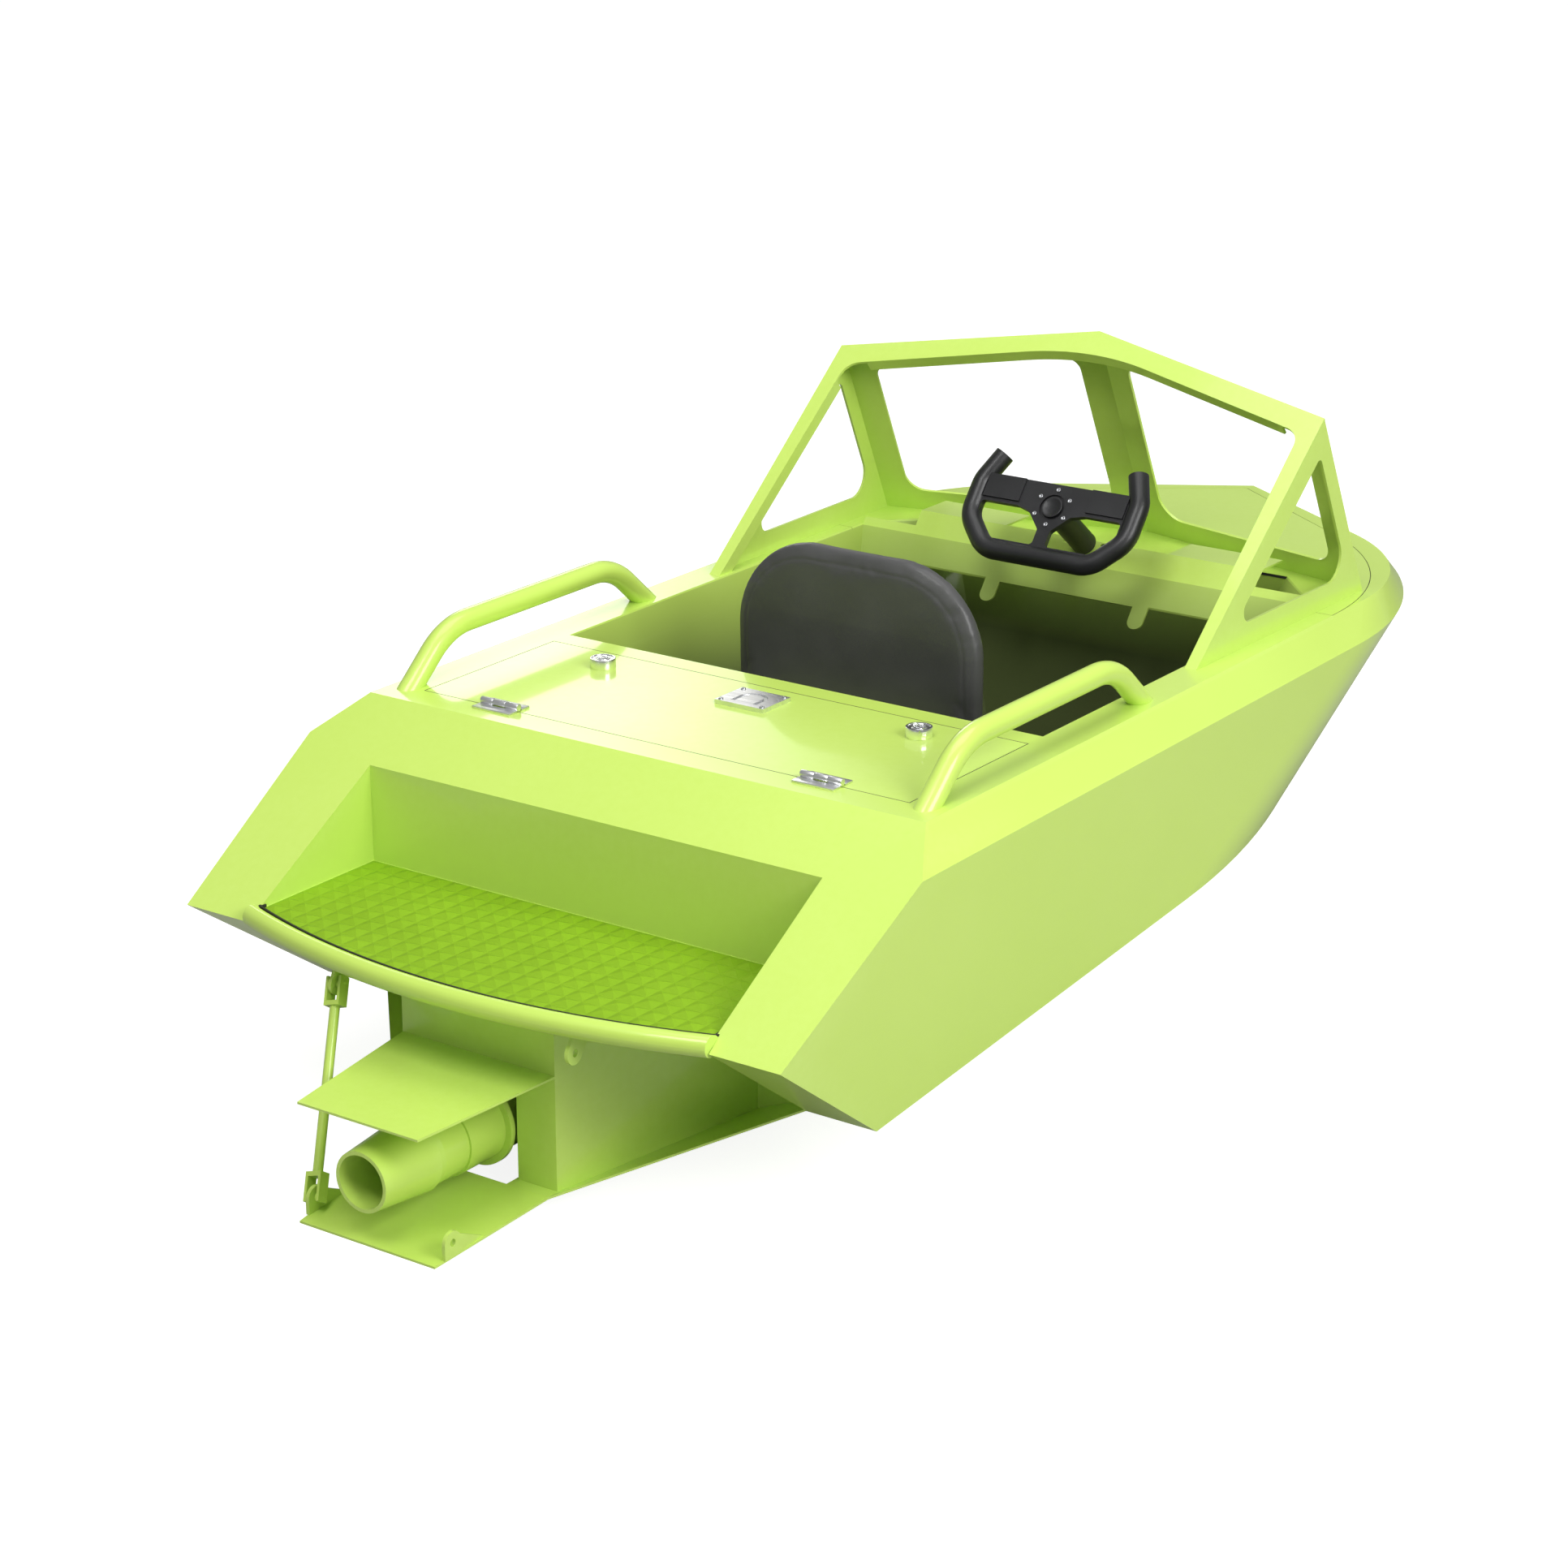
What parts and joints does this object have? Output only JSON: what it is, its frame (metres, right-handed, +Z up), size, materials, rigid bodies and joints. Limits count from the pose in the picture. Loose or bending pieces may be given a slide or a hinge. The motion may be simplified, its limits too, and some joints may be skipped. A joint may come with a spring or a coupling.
{
  "type": "electric jet boat",
  "caption": "Small one-seat electric jet boat with a faceted welded hull, swim platform, open cockpit, folded windscreen frame and an open water jet.",
  "frame": {"origin": "on the floor under the middle of the boat's overall length and width", "axes": "+X starboard, +Y to the bow, +Z up"},
  "size_m": [0.99, 2.304, 0.8314],
  "materials": {
    "hull_paint": "glossy lime green paint",
    "mat": "saturated green foam mat with a pyramid pattern",
    "bright_metal": "polished",
    "jet_metal": "cast and turned, satin",
    "wheel_black": "black grip and plate",
    "seat_cover": "dark grey vinyl cover",
    "block_grey": "plain block"
  },
  "bodies": {
    "hull": {"adjuster_rod": "hull_paint", "aft_bulkhead": "hull_paint", "backrest": "seat_cover", "battery_block": "block_grey", "bottom_port": "hull_paint", "bottom_starboard": "hull_paint", "bottom_wing_port": "hull_paint", "bottom_wing_starboard": "hull_paint", "bow_body": "hull_paint", "cockpit_sole": "hull_paint", "dash_port": "hull_paint", "dash_starboard": "hull_paint", "deck_aft": "hull_paint", "deck_hinge_leaves": "bright_metal", "foredeck": "hull_paint", "gunwale_bow": "hull_paint", "gunwale_port": "hull_paint", "gunwale_starboard": "hull_paint", "hatch_coaming": "hull_paint", "helm_console": "hull_paint", "intake_grille": "jet_metal", "jet_pod": "hull_paint", "jet_tube": "hull_paint", "motor_block": "block_grey", "platform_edge_tube": "hull_paint", "platform_lugs": "hull_paint", "platform_mat": "mat", "platform_plate": "hull_paint", "rail_port": "hull_paint", "rail_starboard": "hull_paint", "ride_plate": "hull_paint", "screen_front_port": "hull_paint", "screen_front_starboard": "hull_paint", "screen_hoop": "hull_paint", "screen_side_port": "hull_paint", "screen_side_starboard": "hull_paint", "seat_base": "hull_paint", "seat_cushion": "seat_cover", "side_port": "hull_paint", "side_starboard": "hull_paint", "splash_plate": "hull_paint", "steering_column": "wheel_black", "stern_block": "hull_paint", "stern_panel": "hull_paint", "stern_undersides": "hull_paint", "transom": "hull_paint"},
    "hatch": {"hatch_lid": "hull_paint", "hatch_hinge_leaves": "bright_metal", "hatch_knobs": "bright_metal", "hatch_latch": "bright_metal"},
    "wheel": {"steering_wheel": "wheel_black"},
    "nozzle": {"steering_nozzle": "hull_paint"},
    "pump_rotor": {"impeller": "jet_metal"}
  },
  "joints": [
    {"name": "hatch_hinge", "type": "hinge", "parent": "hull", "child": "hatch", "pos_m": [0, -0.549, 0.488], "axis": [1, 0, 0], "range_deg": [0, 100]},
    {"name": "helm_turn", "type": "hinge", "parent": "hull", "child": "wheel", "pos_m": [0, 0.442, 0.58], "axis": [0, -0.7826, 0.6225], "range_deg": [-90, 90]},
    {"name": "nozzle_steer", "type": "hinge", "parent": "hull", "child": "nozzle", "pos_m": [0, -1.044, 0.087], "axis": [0, 0, 1], "range_deg": [-15, 15]},
    {"name": "impeller_spin", "type": "hinge", "parent": "hull", "child": "pump_rotor", "pos_m": [0, -0.833, 0.087], "axis": [0, 1, 0], "continuous": true}
  ],
  "couplings": [
    {"joint": "nozzle_steer", "follows": "helm_turn", "ratio": 0.16667}
  ]
}
